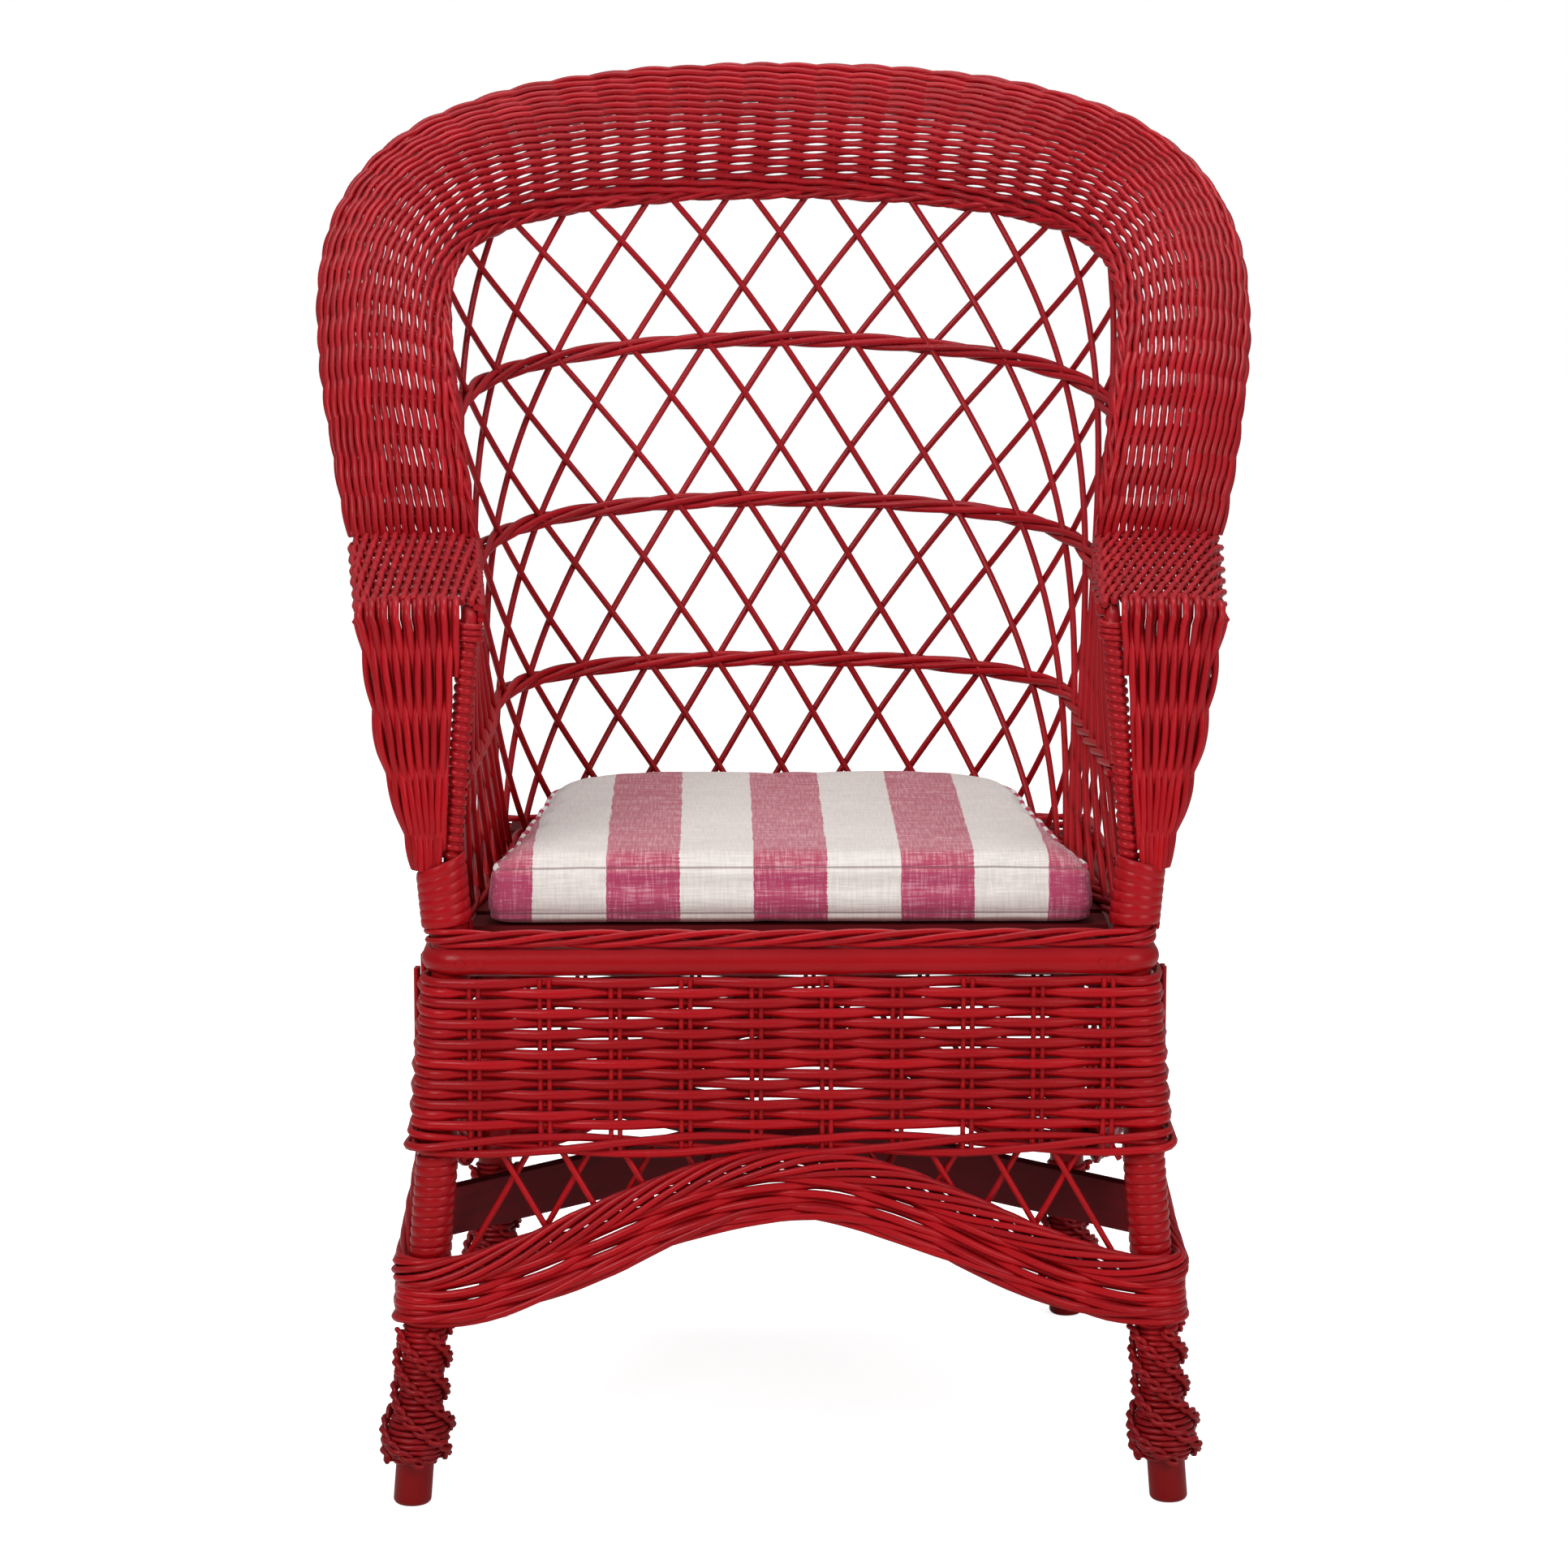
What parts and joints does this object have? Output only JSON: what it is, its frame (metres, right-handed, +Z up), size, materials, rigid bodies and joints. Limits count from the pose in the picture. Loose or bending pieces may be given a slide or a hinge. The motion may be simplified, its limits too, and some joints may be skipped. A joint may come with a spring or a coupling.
{
  "type": "wicker armchair",
  "caption": "Painted wicker armchair: pole frame, lattice barrel back with a rolled woven border, woven arms and apron, wrapped feet and a loose striped box cushion.",
  "frame": {"origin": "bottom centre of the box round the whole chair, on the floor", "axes": "+X to the sitter's left, +Y to the back of the chair, +Z up"},
  "size_m": [0.7174, 0.6172, 1.0361],
  "materials": {
    "painted_cane": "gloss paint on peeled cane poles",
    "painted_reed": "gloss paint on woven reed",
    "painted_board": "thin dark paint on board",
    "nail_steel": "steel painted over with the frame",
    "screw_steel": "plain steel",
    "cover_fabric": "slubby woven cloth in wide stripes of raspberry pink and cream",
    "foam": "soft foam"
  },
  "bodies": {
    "chair": {"apron_front": "painted_reed", "apron_left": "painted_reed", "apron_rear": "painted_reed", "apron_right": "painted_reed", "arm_front_left": "painted_reed", "arm_front_right": "painted_reed", "arm_top_left": "painted_reed", "arm_top_right": "painted_reed", "back_stakes_left_leaning": "painted_reed", "back_stakes_right_leaning": "painted_reed", "band_lower": "painted_reed", "band_middle": "painted_reed", "band_upper": "painted_reed", "corner_bindings": "painted_reed", "foot_wrap_front_left": "painted_reed", "foot_wrap_front_right": "painted_reed", "foot_wrap_rear_left": "painted_reed", "foot_wrap_rear_right": "painted_reed", "inner_arm_pole_left": "painted_cane", "inner_arm_pole_right": "painted_cane", "inner_cross_rails": "painted_cane", "inner_hoop": "painted_cane", "inner_side_rails": "painted_cane", "leg_bindings": "painted_reed", "leg_front_left": "painted_cane", "leg_front_right": "painted_cane", "leg_rear_left": "painted_cane", "leg_rear_right": "painted_cane", "outer_arm_pole_left": "painted_cane", "outer_arm_pole_right": "painted_cane", "outer_hoop": "painted_cane", "rail_nails": "nail_steel", "roll_crest": "painted_reed", "roll_shoulder_left": "painted_reed", "roll_shoulder_right": "painted_reed", "roll_wing_left": "painted_reed", "roll_wing_right": "painted_reed", "seat_rail_front": "painted_cane", "seat_rail_left": "painted_cane", "seat_rail_rear": "painted_cane", "seat_rail_right": "painted_cane", "seat_ring": "painted_reed", "seat_slats": "painted_board", "side_stakes_left": "painted_reed", "side_stakes_right": "painted_reed", "skirt_border_front": "painted_reed", "skirt_border_left": "painted_reed", "skirt_border_rear": "painted_reed", "skirt_border_right": "painted_reed", "skirt_stakes_front": "painted_reed", "skirt_stakes_left": "painted_reed", "skirt_stakes_rear": "painted_reed", "skirt_stakes_right": "painted_reed", "skirt_wraps": "painted_reed", "stretcher_board_a": "painted_board", "stretcher_board_b": "painted_board", "stretcher_screw": "screw_steel"},
    "cushion": {"cushion_cover": "cover_fabric", "cushion_core": "foam"}
  },
  "joints": [
    {"name": "cushion_lift", "type": "slide", "parent": "chair", "child": "cushion", "axis": [0, 0, 1], "range_m": [0, 0.62]}
  ]
}
